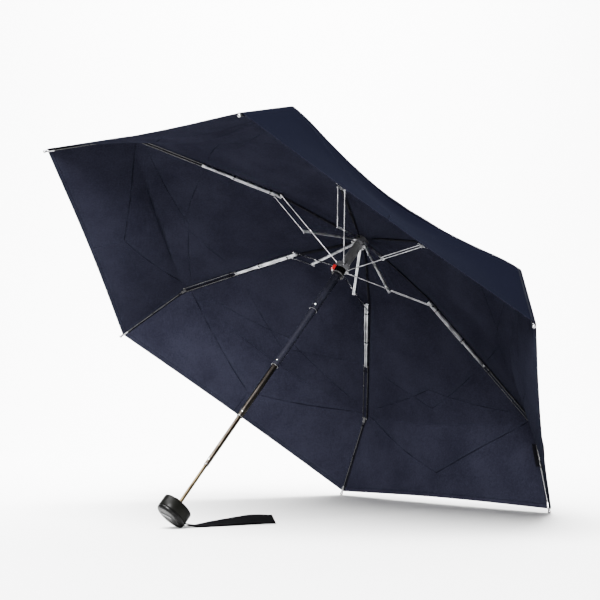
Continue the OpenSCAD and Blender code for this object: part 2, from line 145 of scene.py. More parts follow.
# ---- materials ----
class Shader:
    """A material under construction; every call adds a node and returns an output."""

    def __init__(self, name, colour, rough, metal=0.0, **sockets):
        self.mat = bpy.data.materials.new(name)
        self.mat.use_nodes = True
        self.tree = self.mat.node_tree
        self.bsdf = self.tree.nodes["Principled BSDF"]
        self.set("Base Color", (*colour, 1))
        self.set("Roughness", rough)
        self.set("Metallic", metal)
        for key, value in sockets.items():
            self.set(key.replace("_", " "), value)
        self.mat.diffuse_color = (*colour, 1)

    def set(self, socket, value):
        if isinstance(value, bpy.types.NodeSocket):
            self.tree.links.new(value, self.bsdf.inputs[socket])
        else:
            self.bsdf.inputs[socket].default_value = value

    def node(self, kind, inputs=(), output=0, **props):
        n = self.tree.nodes.new(kind)
        for key, value in props.items():
            setattr(n, key, value)
        for key, value in dict(inputs).items():
            if isinstance(value, bpy.types.NodeSocket):
                self.tree.links.new(value, n.inputs[key])
            else:
                n.inputs[key].default_value = value
        return n.outputs[output]

    def object_space(self, scale=(1, 1, 1)):
        place = self.node("ShaderNodeTexCoord", output="Object")
        return self.node("ShaderNodeMapping", {"Vector": place, "Scale": scale})

    def attribute(self, name):
        return self.node("ShaderNodeAttribute", output="Fac", attribute_name=name)

    def math(self, operation, a, b=0.0):
        return self.node("ShaderNodeMath", {0: a, 1: b}, operation=operation)

    def noise(self, scale, detail=3.0, rough=0.55, at=None):
        return self.node("ShaderNodeTexNoise", {"Vector": at or self.object_space(),
                         "Scale": scale, "Detail": detail, "Roughness": rough})

    def span(self, value, low, high, out_low=0.0, out_high=1.0, smooth=False):
        return self.node("ShaderNodeMapRange", {"Value": value, "From Min": low, "From Max": high,
                         "To Min": out_low, "To Max": out_high},
                         interpolation_type="SMOOTHSTEP" if smooth else "LINEAR")

    def mix(self, share, a, b):
        n = self.tree.nodes.new("ShaderNodeMix")
        n.data_type = "RGBA"
        for socket, value in ((n.inputs["Factor"], share), (n.inputs["A"], a), (n.inputs["B"], b)):
            if isinstance(value, bpy.types.NodeSocket):
                self.tree.links.new(value, socket)
            else:
                socket.default_value = (*value, 1) if isinstance(value, tuple) else value
        return n.outputs["Result"]

    def bump(self, height, distance, strength=1.0, normal=None):
        inputs = {"Height": height, "Distance": distance, "Strength": strength}
        if normal is not None:
            inputs["Normal"] = normal
        return self.node("ShaderNodeBump", inputs)


def metal(name, colour, worn, rough, streak=(1, 1, 1), grain=900.0):
    """Drawn metal: long fine scratches, cloudy tarnish and a nearly even polish."""
    s = Shader(name, colour, rough, 1.0)
    scratches = s.noise(grain, 4, 0.6, s.object_space(streak))
    clouds = s.noise(60.0, 3)
    s.set("Base Color", s.mix(s.span(clouds, 0.35, 0.7, smooth=True), colour, worn))
    s.set("Roughness", s.span(scratches, 0.3, 0.7, rough * 0.94, rough * 1.08))
    s.set("Normal", s.bump(scratches, 0.00001, 0.2))
    return s.mat


def plastic(name, colour, lighter, rough, grain=1400.0, depth=0.00006, **sockets):
    """Moulded plastic: fine spark grain, slight handling polish and dust."""
    s = Shader(name, colour, rough, **sockets)
    pits = s.noise(grain, 2, 0.5)
    rubbed = s.noise(45.0, 4)
    s.set("Base Color", s.mix(s.span(rubbed, 0.45, 0.8, smooth=True), colour, lighter))
    s.set("Roughness", s.span(rubbed, 0.3, 0.75, rough * 1.15, rough * 0.8))
    s.set("Normal", s.bump(pits, depth, 0.6))
    return s.mat


# Metres: the hem's stitch length, and how far in from the edge the stitches run
STITCH_PITCH, STITCH_IN = 0.0032, 0.0068


def cloth_material():
    """Navy pongee: plain weave, faint slubs, pressed folds with painted shade along their lines, a
    stitched hem, and an outer face painted darker as shade.
    """
    base, pale = (0.0028, 0.0029, 0.0050), (0.0062, 0.0065, 0.0104)
    # The first colour is the painted shade along the fold lines, also used for the stitch thread; the
    # second is the outer face, painted darker as shade against the stronger light on it.
    fold_shade_and_stitch, outside = (0.0004, 0.0004, 0.0009), (0.0009, 0.0010, 0.0021)
    s = Shader("pongee_navy", base, 0.6, Sheen_Weight=0.004, Sheen_Roughness=0.5,
               Specular_IOR_Level=0.0)
    s.set("Sheen Tint", (0.5, 0.56, 0.85, 1))
    along, across = s.attribute("along"), s.attribute("across")
    weave = s.node("ShaderNodeCombineXYZ", {0: along, 1: across})
    warp, weft = (
        s.noise(1.0, 2, 0.5, s.node("ShaderNodeMapping", {"Vector": weave, "Scale": scale}))
        for scale in ((260, 2600, 1), (2600, 260, 1)))
    threads = s.math("ADD", warp, weft)
    clouds = s.noise(14.0, 4)
    tone = s.math("ADD", s.span(threads, 0.7, 1.3), s.span(clouds, 0.3, 0.7, -0.35, 0.35))
    tone = s.math("ADD", tone, s.span(s.noise(430.0, 2), 0.3, 0.7, -0.4, 0.4))
    colour = s.mix(s.span(tone, 0.0, 1.0), base, pale)
    # Painted shade: the outer face of the same cloth is coloured darker than the inner face.
    colour = s.mix(s.attribute("outer"), colour, outside)
    from_rib = s.attribute("from_rib")
    # Painted shade: a dark line along each pressed fold, faded out near the ribs and broken up by
    # noise.
    fold_line_shade = 0.0
    for name, width, fade in (("fold_a", 0.0011, 0.012), ("fold_b", 0.0009, 0.05),
                              ("fold_c", 0.0009, 0.04), ("fold_m", 0.0009, 0.001)):
        near = s.span(s.math("ABSOLUTE", s.attribute(name)), 0.0, width, 1.0, 0.0, True)
        near = s.math("MULTIPLY", near, s.span(from_rib, fade * 0.5, fade, 0.15, 1.0, True))
        fold_line_shade = near if fold_line_shade == 0.0 else s.math("MAXIMUM", fold_line_shade, near)
    broken = s.math("MULTIPLY", fold_line_shade, s.span(s.noise(35.0, 3), 0.35, 0.62, 0.3, 1.0, True))
    hem = s.attribute("hem")
    dash = s.math("SINE", s.math("MULTIPLY", across, 2 * math.pi / STITCH_PITCH))
    stitch = s.math("MULTIPLY", s.span(s.math("ABSOLUTE", s.math("SUBTRACT", hem, STITCH_IN)),
                    0.0002, 0.0006, 1.0, 0.0, True), s.span(dash, -0.2, 0.3, 0.0, 1.0, True))
    lines = s.math("MAXIMUM", broken, stitch)
    # The fold lines are darkened as painted shade; the stitches are darkened as thread.
    s.set("Base Color", s.mix(s.math("MULTIPLY", lines, 0.6), colour, fold_shade_and_stitch))
    s.set("Roughness", s.span(threads, 0.7, 1.3, 0.55, 0.72))
    fine = s.bump(threads, 0.00007, 0.5)
    soft = s.bump(s.noise(22.0, 5, 0.6), 0.0018, 0.4, fine)
    s.set("Normal", s.bump(s.math("MULTIPLY", lines, -1.0), 0.0010, 0.9, soft))
    return s.mat


def ribbon_material(name, colour, pale, pitch=0.0011):
    """Woven tape: diagonal ribs across it and a fine fuzz."""
    s = Shader(name, colour, 0.7, Sheen_Weight=0.004, Sheen_Roughness=0.4, Specular_IOR_Level=0.0)
    along, across = s.attribute("along"), s.attribute("across")
    rows = s.math("SINE", s.math("MULTIPLY", along, 2 * math.pi / pitch))
    side = s.math("SINE", s.math("MULTIPLY", across, 2 * math.pi / (pitch * 0.8)))
    weave = s.math("MULTIPLY", rows, side)
    fuzz = s.noise(700.0, 3)
    lit = s.math("ADD", s.span(weave, -1.0, 1.0, 0.0, 0.6), s.span(fuzz, 0.3, 0.7, 0.0, 0.4))
    s.set("Base Color", s.mix(lit, colour, pale))
    s.set("Normal", s.bump(weave, 0.00022, 0.7, s.bump(fuzz, 0.0001, 0.6)))
    return s.mat


def tape_material():
    """Dull black tape and thread; on the seam strips the black is partly painted shade."""
    s = Shader("seam_tape", (0.0010, 0.0010, 0.0018), 0.8, Specular_IOR_Level=0.02)
    s.set("Normal", s.bump(s.noise(1200.0, 3), 0.0001, 0.6))
    s.set("Base Color", s.mix(s.noise(300.0, 3), (0.0007, 0.0007, 0.0014),
                              (0.0022, 0.0022, 0.0034)))
    return s.mat


CLOTH = cloth_material()
# Black seam tape: partly a real seam, partly painted shade for the gap beside each rib.
SEAM_TAPE_AND_SHADE = tape_material()
RIBBON = ribbon_material("strap_ribbon", (0.0004, 0.0004, 0.0005), (0.0018, 0.0018, 0.0020))
TAB = ribbon_material("tab_ribbon", (0.0007, 0.0007, 0.0010), (0.0024, 0.0024, 0.0032), 0.0008)
ALUMINIUM = metal("rib_aluminium", (0.52, 0.525, 0.54), (0.22, 0.22, 0.23), 0.3, (1, 1, 0.2))
WIRE = metal("rib_wire", (0.27, 0.27, 0.285), (0.08, 0.08, 0.085), 0.26)
DARK_STEEL = plastic("rib_black_enamel", (0.0035, 0.0035, 0.0042), (0.010, 0.010, 0.011), 0.26,
                     1800.0, 0.00003, Specular_IOR_Level=0.3)
SHAFT_DARK = plastic("shaft_enamel", (0.0030, 0.0031, 0.0050), (0.0052, 0.0054, 0.0082), 0.2,
                     2200.0, 0.00002, Specular_IOR_Level=0.5)
SLEEVE = plastic("sleeve_grey", (0.035, 0.035, 0.037), (0.07, 0.07, 0.073), 0.3,
                 Specular_IOR_Level=0.4)
TIP_STEEL = metal("tip_steel", (0.26, 0.26, 0.27), (0.10, 0.10, 0.105), 0.2)
SHAFT_GREY = metal("shaft_grey", (0.055, 0.048, 0.042), (0.022, 0.019, 0.016), 0.24)
SHAFT_BRONZE = metal("shaft_bronze", (0.036, 0.028, 0.021), (0.014, 0.011, 0.008), 0.2)
SHAFT_GOLD = metal("shaft_gold", (0.050, 0.037, 0.019), (0.021, 0.015, 0.008), 0.2)
BRIGHT = metal("bright_rim", (0.62, 0.61, 0.60), (0.40, 0.40, 0.40), 0.15)
BLACK = plastic("black_plastic", (0.0008, 0.0008, 0.0008), (0.0018, 0.0018, 0.0018), 0.28,
                Specular_IOR_Level=0.05)
GRIP = plastic("handle_grip", (0.0008, 0.00085, 0.0007), (0.0018, 0.0019, 0.0015), 0.36, 900.0,
               0.0001, Specular_IOR_Level=0.03)
GREY = plastic("grey_plastic", (0.035, 0.035, 0.038), (0.075, 0.075, 0.08), 0.28,
               Specular_IOR_Level=0.3)
RED = plastic("red_plastic", (0.22, 0.0035, 0.004), (0.32, 0.012, 0.012), 0.25, Coat_Weight=0.1)
PALE = plastic("pale_plastic", (0.30, 0.30, 0.29), (0.38, 0.38, 0.37), 0.3, Specular_IOR_Level=0.2)
STEEL = metal("plain_steel", (0.38, 0.38, 0.40), (0.2, 0.2, 0.21), 0.25)
INLAY = metal("inlay_metal", (0.05, 0.05, 0.053), (0.025, 0.025, 0.027), 0.3)
THREAD = tape_material()

NODE_LOOKS = {
    "inner_rib": ALUMINIUM, "middle_rib": ALUMINIUM, "lever": WIRE, "link_wire": WIRE,
    "outer_link": DARK_STEEL, "end_rib": DARK_STEEL, "tube_1": SHAFT_DARK, "tube_2": SHAFT_DARK,
    "tube_3": SHAFT_GREY, "tube_4": SHAFT_BRONZE, "tube_5": SHAFT_GOLD, "top_notch": GREY,
    "notch_wire": STEEL, "crown_cap": BLACK, "runner_collar": GREY, "runner_button": RED,
    "runner": BLACK, "button_spring": STEEL, "snap_clip": BRIGHT, "handle_body": GRIP,
    "handle_end_cap": BLACK, "handle_screw": STEEL, "end_inlay": INLAY, "strap_pin": STEEL,
    "strap": RIBBON, "canopy": CLOTH, "closure_band": TAB,
}


def look_of(node):
    return next(NODE_LOOKS[key] for key in sorted(NODE_LOOKS, key=len, reverse=True)
                if node.startswith(key))


def dress_cad():
    """Every CAD node gets its finished material, and sharp machined edges a small rounding."""
    for name, obj in NODES.items():
        obj.data.materials.clear()
        obj.data.materials.append(look_of(name))
        if name.startswith(("inner_rib", "middle_rib", "runner", "top_notch", "crown_cap")):
            edge = obj.modifiers.new("edge", "BEVEL")
            edge.width, edge.segments, edge.limit_method = 0.12 * MM, 2, "ANGLE"
            edge.angle_limit = math.radians(50)


# ---- mesh helpers ----
def make(name, points, faces, materials, body, smooth=True, attributes=None, places=None):
    """A piece from row-frame points, riding on a CAD body."""
    mesh = bpy.data.meshes.new(name)
    mesh.from_pydata([tuple(p) for p in np.asarray(points, float)], [], [tuple(f) for f in faces])
    for m in materials:
        mesh.materials.append(m)
    if places is not None:
        mesh.polygons.foreach_set("material_index", np.asarray(places, np.int32))
    mesh.polygons.foreach_set("use_smooth", [smooth] * len(mesh.polygons))
    for key, values in (attributes or {}).items():
        layer = mesh.attributes.new(key, "FLOAT", "POINT")
        layer.data.foreach_set("value", np.asarray(values, np.float32))
    mesh.validate()
    obj = bpy.data.objects.new(name, mesh)
    bpy.context.scene.collection.objects.link(obj)
    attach(obj, body)
    return obj


def sharpen(obj, degrees=35):
    """Keeps edges sharper than this hard in the shading."""
    obj.data.set_sharp_from_angle(angle=math.radians(degrees))
    return obj


def rings_mesh(rings, close=False, cap=True):
    """Faces between equal closed rings of points, capped unless they close on themselves."""
    rings = np.asarray(rings, float)
    count, n = rings.shape[:2]
    faces = []
    for i in range(count if close else count - 1):
        a, b = i * n, (i + 1) % count * n
        faces += [(a + j, a + (j + 1) % n, b + (j + 1) % n, b + j) for j in range(n)]
    if cap and not close:
        faces += [tuple(range(n - 1, -1, -1)), tuple((count - 1) * n + j for j in range(n))]
    return rings.reshape(-1, 3), faces


def joined(parts):
    """Several (points, faces) as one."""
    points, faces, start = [], [], 0
    for p, f in parts:
        points.append(np.asarray(p, float))
        faces += [tuple(i + start for i in face) for face in f]
        start += len(p)
    return np.concatenate(points), faces


def loft(profile, rx, ry, n=96):
    """A stack of ovals: (height, inset) pairs, in the umbrella's axes."""
    a = np.linspace(0, 2 * math.pi, n, endpoint=False)
    return rings_mesh([np.stack([np.cos(a) * (rx - d), np.sin(a) * (ry - d), np.full(n, z)], -1)
                       for z, d in profile])


def turned_solid(profile, n=72):
    """A turned solid: (radius, height) pairs from one end to the other."""
    a = np.linspace(0, 2 * math.pi, n, endpoint=False)
    return rings_mesh([np.stack([np.cos(a) * r, np.sin(a) * r, np.full(n, z)], -1)
                       for r, z in profile])


# ---- canopy ----
# The cloth line over a rib: radius and drop below the notch hinges
RIB_LINE = [(7.6, -1.9), (13.9, -1.9), (45, 1.5), (90, 8), (137, 15), (196, 32), (255, 49),
            (309, 65), (349, 76.8), (363, 81), (372, 92), (405, 131.4), (445.4, 179.9)]
CUTS = (70.0, 137.0, 255.0, 363.0)
SECTION_BODIES = ("inner_rib", "lever", "middle_rib", "outer_link", "end_rib")
CLOTH_GAP = 3.65  # from the rib line out to the middle of the cloth
CLOTH_HALF = 0.22  # half the cloth's thickness
HEM_DEEP = 8.0  # how far in the turned hem reaches
HEM_STEP = 0.3  # the run over which the hem's extra thickness ends
HEM_EXTRA = 0.35  # how much thicker the hem is
# How far the cloth sags midway between two ribs: radius and depth
SAG = [(20, 0), (45, 0.3), (90, 1.1), (137, 2.5), (196, 4.9), (255, 7.3), (290, 9.6), (309, 11.5),
       (330, 16), (349, 21), (363, 25), (376, 27), (388, 25), (405, 19), (425, 11), (446, 3.8)]
HEM_DRAW = 3.5  # how far the hem is drawn in midway between two ribs
ROW_STEP = 5.2  # the longest step between mesh rows
HALF_GORE = 34  # mesh columns in half a gore
LINE_STEP = 0.2  # the step along the smoothed rib line
LINE_SMOOTH = 3.5  # how far its corners are rounded off


def smooth_line():
    """The rib line as closely spaced points: arc length, radius, height and up direction."""
    pts = np.array([(r, -d) for r, d in RIB_LINE])
    arc = np.concatenate([[0], np.cumsum(np.linalg.norm(np.diff(pts, axis=0), axis=1))])
    s = np.arange(0, arc[-1] + LINE_STEP / 2, LINE_STEP)
    s[-1] = arc[-1]
    spread = int(4 * LINE_SMOOTH / LINE_STEP)
    kernel = np.exp(-0.5 * (np.arange(-spread, spread + 1) * LINE_STEP / LINE_SMOOTH) ** 2)
    kernel /= kernel.sum()
    out = []
    for c in range(2):
        v = np.interp(s, arc, pts[:, c])
        v = np.concatenate([2 * v[0] - v[spread:0:-1], v, 2 * v[-1] - v[-2:-spread - 2:-1]])
        out.append(np.convolve(v, kernel, "valid"))
    r, z = out
    slope = np.arctan2(np.gradient(z), np.gradient(r))
    return s, r, z, slope


LINE_S, LINE_R, LINE_Z, LINE_SLOPE = smooth_line()


def row_stations():
    """Arc lengths of the mesh rows, with one on every cut and on both sides of the hem step."""
    end = LINE_S[-1]
    marks = [0.0, *np.interp(CUTS, LINE_R, LINE_S), end - HEM_DEEP, end - HEM_DEEP + HEM_STEP, end]
    rows, cuts = [0.0], [0]
    for low, high in zip(marks, marks[1:]):
        steps = max(1, math.ceil((high - low) / ROW_STEP))
        rows += list(np.linspace(low, high, steps + 1)[1:])
        cuts.append(len(rows) - 1)
    return np.array(rows), [*cuts[:5], cuts[-1]]


ROWS, CUT_ROWS = row_stations()


def eased(values, spread):
    """Values along the rows, rounded off over a few rows to either side."""
    reach = np.arange(-3 * spread, 3 * spread + 1)
    kernel = np.exp(-0.5 * (reach / spread) ** 2)
    padded = np.pad(values, 3 * spread, mode="reflect", reflect_type="odd")
    return np.convolve(padded, kernel / kernel.sum(), "valid")


SAG_DEPTH = eased(np.interp(np.interp(ROWS, LINE_S, LINE_R), *zip(*SAG)), 2)


def ripple(a, b, seed):
    """Soft uneven waves between -1 and 1, the same on every run."""
    return (np.sin(a * 1.0 + 1.7 * seed) * np.sin(b * 1.3 + 0.9 * seed)
            + 0.6 * np.sin(a * 2.3 - b * 1.1 + 2.1 * seed)
            + 0.4 * np.sin(a * 3.9 + b * 2.7 + 0.4 * seed)) / 2.0


def folds_of(gore, r, v):
    """Signed distances, in millimetres, to a gore's pressed folds."""
    w = 1 - np.abs(2 * v - 1)
    shift = 6.0 * math.sin(2.3 * gore + 0.5)
    fold_a = r - (357 + (412 + shift - 357) * w)
    fold_b = r - (250 + (323 + shift - 250) * w)
    fold_c = r - (350 + (303 - shift - 350) * w)
    fold_m = np.where(r > 412 + shift, (v - 0.5) * r, 30.0)
    return fold_a, fold_b, fold_c, fold_m


def gore_surface(gore):
    """Points and attributes of the gore between rib gore and the next, rows by columns."""
    v = np.linspace(0, 1, 2 * HALF_GORE + 1)[None, :]
    s = ROWS[:, None]
    r = np.interp(ROWS, LINE_S, LINE_R)[:, None]
    z = np.interp(ROWS, LINE_S, LINE_Z)[:, None]
    tilt = np.interp(ROWS, LINE_S, LINE_SLOPE)[:, None]
    r_up, z_up = r - CLOTH_GAP * np.sin(tilt), z + CLOTH_GAP * np.cos(tilt)
    first, second = radial(gore), radial(gore + 1)
    spread = (4 * v * (1 - v)) ** 1.4
    belly = 4 * v * (1 - v)
    draw = HEM_DRAW * spread * np.clip(1 - (LINE_S[-1] - s) / 70, 0, 1) ** 2
    r_up, z_up = r_up - draw * np.cos(tilt), z_up - draw * np.sin(tilt)
    base = r_up[..., None] * (first * (1 - v[..., None]) + second * v[..., None])
    ring = np.linalg.norm(base, axis=-1)
    sag = SAG_DEPTH[:, None] * spread
    fold_a, fold_b, fold_c, fold_m = folds_of(gore, r, v)
    tent = sum(h * np.exp(-np.abs(d) / w) for d, h, w in
               ((fold_a, 1.5, 14), (fold_b, -1.1, 16), (fold_c, 1.0, 13)))
    ease = np.minimum(1, belly * 1.6)
    waves = 0.9 * ripple(v * 9, s / 42, gore + 1) * ease
    pull = 1.3 * np.sin(v * 2 * math.pi * 7 + gore) * np.exp(-belly * 5)
    pull = pull * np.minimum(1, r / 200) * ease
    lift = ease * tent + waves + pull * 0.5
    inward = base / ring[..., None]
    points = base * (1 + sag * np.sin(tilt) / ring)[..., None]
    points[..., 2] += z_up - sag * np.cos(tilt)
    down_slope = np.stack([np.cos(tilt), np.sin(tilt)], -1)
    normal = inward * -down_slope[..., 1:] + np.array([0, 0, 1.0]) * down_slope[..., :1]
    fade = np.clip((LINE_S[-1] - s) / 10, 0.25, 1) * np.clip(s / 30, 0, 1)
    points = points + normal * (lift * fade)[..., None]
    across = np.linalg.norm(points - points[:, :1], axis=-1)
    return {"points": points, "along": np.broadcast_to(s, across.shape), "across": across,
            "hem": np.broadcast_to(LINE_S[-1] - s, across.shape), "fold_a": fold_a,
            "fold_b": fold_b, "fold_c": fold_c, "fold_m": fold_m,
            "from_rib": np.broadcast_to(r * np.minimum(v, 1 - v), across.shape)}


def gore_normals(points):
    down, side = np.gradient(points, axis=0), np.gradient(points, axis=1)
    n = np.cross(down, side)
    n /= np.linalg.norm(n, axis=-1, keepdims=True)
    return n


GORES = [gore_surface(k) for k in range(1, RIBS + 1)]
for g in GORES:
    g["normals"] = gore_normals(g["points"])
for number, g in enumerate(GORES):
    after = GORES[(number + 1) % RIBS]
    shared = g["normals"][:, -1] + after["normals"][:, 0]
    shared /= np.linalg.norm(shared, axis=-1, keepdims=True)
    g["normals"][:, -1] = after["normals"][:, 0] = shared


def sector(k):
    """The cloth over rib k, from mid-gore to mid-gore, as arrays of rows by columns."""
    left, right = GORES[k - 1], GORES[k - 2]
    m = HALF_GORE
    return {key: np.concatenate([right[key][:, m:2 * m], left[key][:, :m + 1]], axis=1)
            for key in left}


def shell(points, normals, inner, outer):
    """A thin closed shell round a grid of points: its points and faces, and which face is which."""
    rows, cols = points.shape[:2]
    top = points + normals * outer[..., None]
    low = points - normals * inner[..., None]
    n = rows * cols
    i, j = np.meshgrid(np.arange(rows - 1), np.arange(cols - 1), indexing="ij")
    a = (i * cols + j).ravel()
    quads = np.stack([a, a + cols, a + cols + 1, a + 1], -1)
    faces = [quads, quads[:, ::-1] + n]
    edge = np.concatenate([np.arange(cols), np.arange(1, rows) * cols + cols - 1,
                           (rows - 1) * cols + np.arange(cols - 2, -1, -1),
                           np.arange(rows - 2, 0, -1) * cols])
    after = np.roll(edge, -1)
    faces.append(np.stack([edge, after, after + n, edge + n], -1))
    return (np.concatenate([top.reshape(-1, 3), low.reshape(-1, 3)]),
            np.concatenate(faces), len(quads))


def grid_area(points):
    a, b, c, d = points[:-1, :-1], points[1:, :-1], points[1:, 1:], points[:-1, 1:]
    return (np.linalg.norm(np.cross(c - a, d - b), axis=-1) / 2).sum()


def seam_strip(k, low, high):
    """A folded seam allowance that stands off the inside of the cloth beside rib k; its black is
    partly a real seam and partly painted shade for the gap beside the rib.
    """
    start = ROWS[low] + (3 if low == 0 else 0)
    end = ROWS[high] - (2 if high == len(ROWS) - 1 else 0)
    s = np.linspace(start, end, max(3, int((ROWS[high] - ROWS[low]) / 9)))
    r, z, tilt = (np.interp(s, LINE_S, v) for v in (LINE_R, LINE_Z, LINE_SLOPE))
    rings = []
    for ri, zi, ti in zip(r, z, tilt):
        up = np.array([-math.sin(ti), math.cos(ti)])
        wide = min(5.5, ri * 0.12)
        ring = []
        for y, h in ((-1.2, 2.45), (-1.2, 2.0), (-wide, 1.2), (-wide, 1.75)):
            ring.append(rib_points(k, ri + up[0] * h, y, zi + up[1] * h))
        rings.append(ring)
    return rings_mesh(rings)


ATTRIBUTES = ("along", "across", "hem", "fold_a", "fold_b", "fold_c", "fold_m", "from_rib")


def build_canopy():
    for k in range(1, RIBS + 1):
        cloth = sector(k)
        for part, body in enumerate(SECTION_BODIES):
            low, high = CUT_ROWS[part], CUT_ROWS[part + 1]
            cut = {key: value[low:high + 1] for key, value in cloth.items()}
            thick = np.full(cut["hem"].shape, CLOTH_HALF)
            inner = thick + np.where(cut["hem"] < HEM_DEEP - 0.15, HEM_EXTRA, 0)
            points, faces, quads = shell(cut["points"], cut["normals"], inner, thick)
            # The seam strip's black tape is partly painted shade for the gap beside the rib.
            tape_points, tape_faces = seam_strip(k, low, high)
            start = len(points)
            all_faces = [tuple(f) for f in faces]
            all_faces += [tuple(i + start for i in f) for f in tape_faces]
            extra = len(tape_points)
            attributes = {}
            for key in ATTRIBUTES:
                value = cut[key].reshape(-1) * MM
                attributes[key] = np.concatenate([value, value, np.full(extra, 0.05)])
            size = cut["hem"].size
            # Marks the outer face, which the cloth material paints darker as shade.
            attributes["outer"] = np.repeat([1.0, 0.0], [size, size + extra])
            places = [0] * len(faces) + [1] * len(tape_faces)
            name = f"canopy_{k}_{part + 1}"
            obj = make(name, row(np.concatenate([points, tape_points])), all_faces, [CLOTH, SEAM_TAPE_AND_SHADE],
                       f"{body}_{k}", True, attributes, places)
            normals = turned(cut["normals"]).reshape(-1, 3)
            corner_normals = np.zeros((len(obj.data.loops), 3), np.float32)
            loop_vertex = np.zeros(len(obj.data.loops), np.int32)
            obj.data.loops.foreach_get("vertex_index", loop_vertex)
            count = len(normals)
            own = 4 * quads
            corner_normals[:own] = normals[loop_vertex[:own] % count]
            corner_normals[own:2 * own] = -normals[loop_vertex[own:2 * own] % count]
            obj.data.normals_split_custom_set([tuple(n) for n in corner_normals])
            area = grid_area(cut["points"]) * MM * MM
            wide = max(np.linalg.norm(np.diff(cut["points"], axis=1), axis=-1).sum(axis=1)) * MM
            # The two sections nearest the crown taper, so they are longer than area over width
            long = area / wide * (1.0 if part > 1 else 1.25)
            long = max(long, (ROWS[high] - ROWS[low]) * MM)
            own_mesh(obj)
            if k == 1 and part == 0:
                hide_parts("canopy")


# ---- hardware: sleeve, rims, rivets, tips, crown ----
def add(name, parts, material, body, degrees=38, attributes=None):
    """One piece from several (points, faces) in the umbrella's axes."""
    points, faces = joined(parts)
    obj = make(name, row(points), faces, [material], body, True, attributes)
    return sharpen(obj, degrees)


def ring_solid(inner, outer, low, high, edge=0.25, n=64):
    """A turned sleeve with rounded rims."""
    section = [(inner + edge, low), (outer - edge, low), (outer, low + edge), (outer, high - edge),
               (outer - edge, high), (inner + edge, high), (inner, high - edge),
               (inner, low + edge)]
    a = np.linspace(0, 2 * math.pi, n, endpoint=False)
    rings = [[(math.cos(t) * r, math.sin(t) * r, z) for r, z in section] for t in a]
    points, faces = rings_mesh(rings, close=True)
    return points, [f[::-1] for f in faces]


def turned_at(place, axis, profile, n=20):
    """A turned solid of (distance along the axis, radius) pairs on any axis."""
    axis = np.asarray(axis, float) / np.linalg.norm(axis)
    side = np.cross(axis, [0.31, 0.87, 0.39])
    side /= np.linalg.norm(side)
    other = np.cross(axis, side)
    rings = [[np.asarray(place) + axis * d + (side * math.cos(t) + other * math.sin(t)) * r
              for t in np.linspace(0, 2 * math.pi, n, endpoint=False)] for d, r in profile]
    return rings_mesh(rings)


def dome(place, axis, radius, high):
    """A rivet head: a low dome that starts a little inside what it sits on."""
    steps = np.radians([0, 25, 50, 72, 86])
    return turned_at(place, axis, [(-0.1, radius)] + [(high * math.sin(t), radius * math.cos(t))
                                                      for t in steps])


MOUTHS = (-139.5, -248.5, -344.0, -432.0)
TUBE_RADII = (6.2, 5.3, 4.4, 3.5, 2.6)
TUBE_BODIES = ("frame", "tube_2", "tube_3", "tube_4")
# A rib's pivots and its tip, as radius and height below the notch hinges
ELBOW, KNEE, KNEE_2, BEND, TIP = (70.0, -35.344), (137, -15), (255, -49), (363, -81), (448, -183)
# The turned tip: how far past the bend it starts, and (distance, radius) pairs along it
TIP_START = 118.5
TIP_PROFILE = [(0, 1.1), (0.2, 1.85), (1.0, 1.95), (2.0, 1.8), (7.0, 1.75), (10.4, 1.7),
               (11.2, 1.25), (12.0, 1.3), (12.6, 1.95), (13.4, 2.35), (14.3, 2.45), (15.2, 2.3),
               (16.0, 1.7), (16.5, 0.8)]
# The button's angle round the shaft in degrees, and the heights of its pad and foot
BUTTON_TURN, PAD_HEIGHT, FOOT_HEIGHT = 151, -60.7, -66.1
# The sewing thread: spacing of its turns, its radius, and how far it sits off the link
THREAD_STEP, THREAD_RADIUS, THREAD_OFF = 0.62, 0.3, 0.25


def at_rib(k, pivot, y=0.0, ahead=0.0, toward=None, up=0.0):
    """A point near a rib's pivot: ahead along the link to the next pivot, up off it, y aside."""
    r, z = pivot
    if toward is not None:
        d = np.array([toward[0] - r, toward[1] - z], float)
        d /= np.linalg.norm(d)
        r, z = r + d[0] * ahead - d[1] * up, z + d[1] * ahead + d[0] * up
    return rib_points(k, r, y, z)


def build_shaft_details():
    add("upper_sleeve", [ring_solid(6.3, 7.0, -48.6, -4.9), ring_solid(6.4, 7.35, -8.2, -6.4),
                         ring_solid(6.4, 7.3, -48.9, -46.9)], SLEEVE, "frame")
    for i, (mouth, radius, body) in enumerate(zip(MOUTHS, TUBE_RADII, TUBE_BODIES), 1):
        rim = ring_solid(radius - 0.35, radius + 0.2, mouth + 0.02, mouth + 1.0, 0.15)
        add(f"mouth_rim_{i}", [rim], TIP_STEEL, body)
    low, top = -68.5, -49.4
    add("runner_trim", [ring_solid(9.2, 9.75, low + 0.5, low + 1.9, 0.2),
                        ring_solid(6.9, 11.2, top - 0.1, top + 0.7, 0.3)],
        SLEEVE, "runner")
    turn = math.radians(BUTTON_TURN)
    out = np.array([math.cos(turn), math.sin(turn), 0])
    aside = np.array([-math.sin(turn), math.cos(turn), 0])
    a = np.linspace(0, 2 * math.pi, 24, endpoint=False)
    pad = [[out * reach + aside * (half - d) * np.sign(math.cos(t)) * abs(math.cos(t)) ** 0.5
            + np.array([0, 0, PAD_HEIGHT
                        + (high - d) * np.sign(math.sin(t)) * abs(math.sin(t)) ** 0.5])
            for t in a] for reach, half, high, d in
           ((11.9, 2.15, 3.9, 0), (12.9, 2.2, 4.0, 0), (13.5, 2.1, 3.9, 0.15),
            (13.8, 1.9, 3.7, 0.5), (13.85, 1.4, 3.2, 0.9))]
    add("button_pad", [rings_mesh(pad)], RED, "button")
    foot = [[out * reach + aside * 1.7 * math.cos(t)
             + np.array([0, 0, FOOT_HEIGHT + 1.15 * math.sin(t)]) for t in a]
            for reach in (8.9, 10.4, 11.1)]
    foot.append([out * 11.35 + aside * 1.2 * math.cos(t)
                 + np.array([0, 0, FOOT_HEIGHT + 0.8 * math.sin(t)]) for t in a])
    add("button_foot", [rings_mesh(foot)], PALE, "runner")


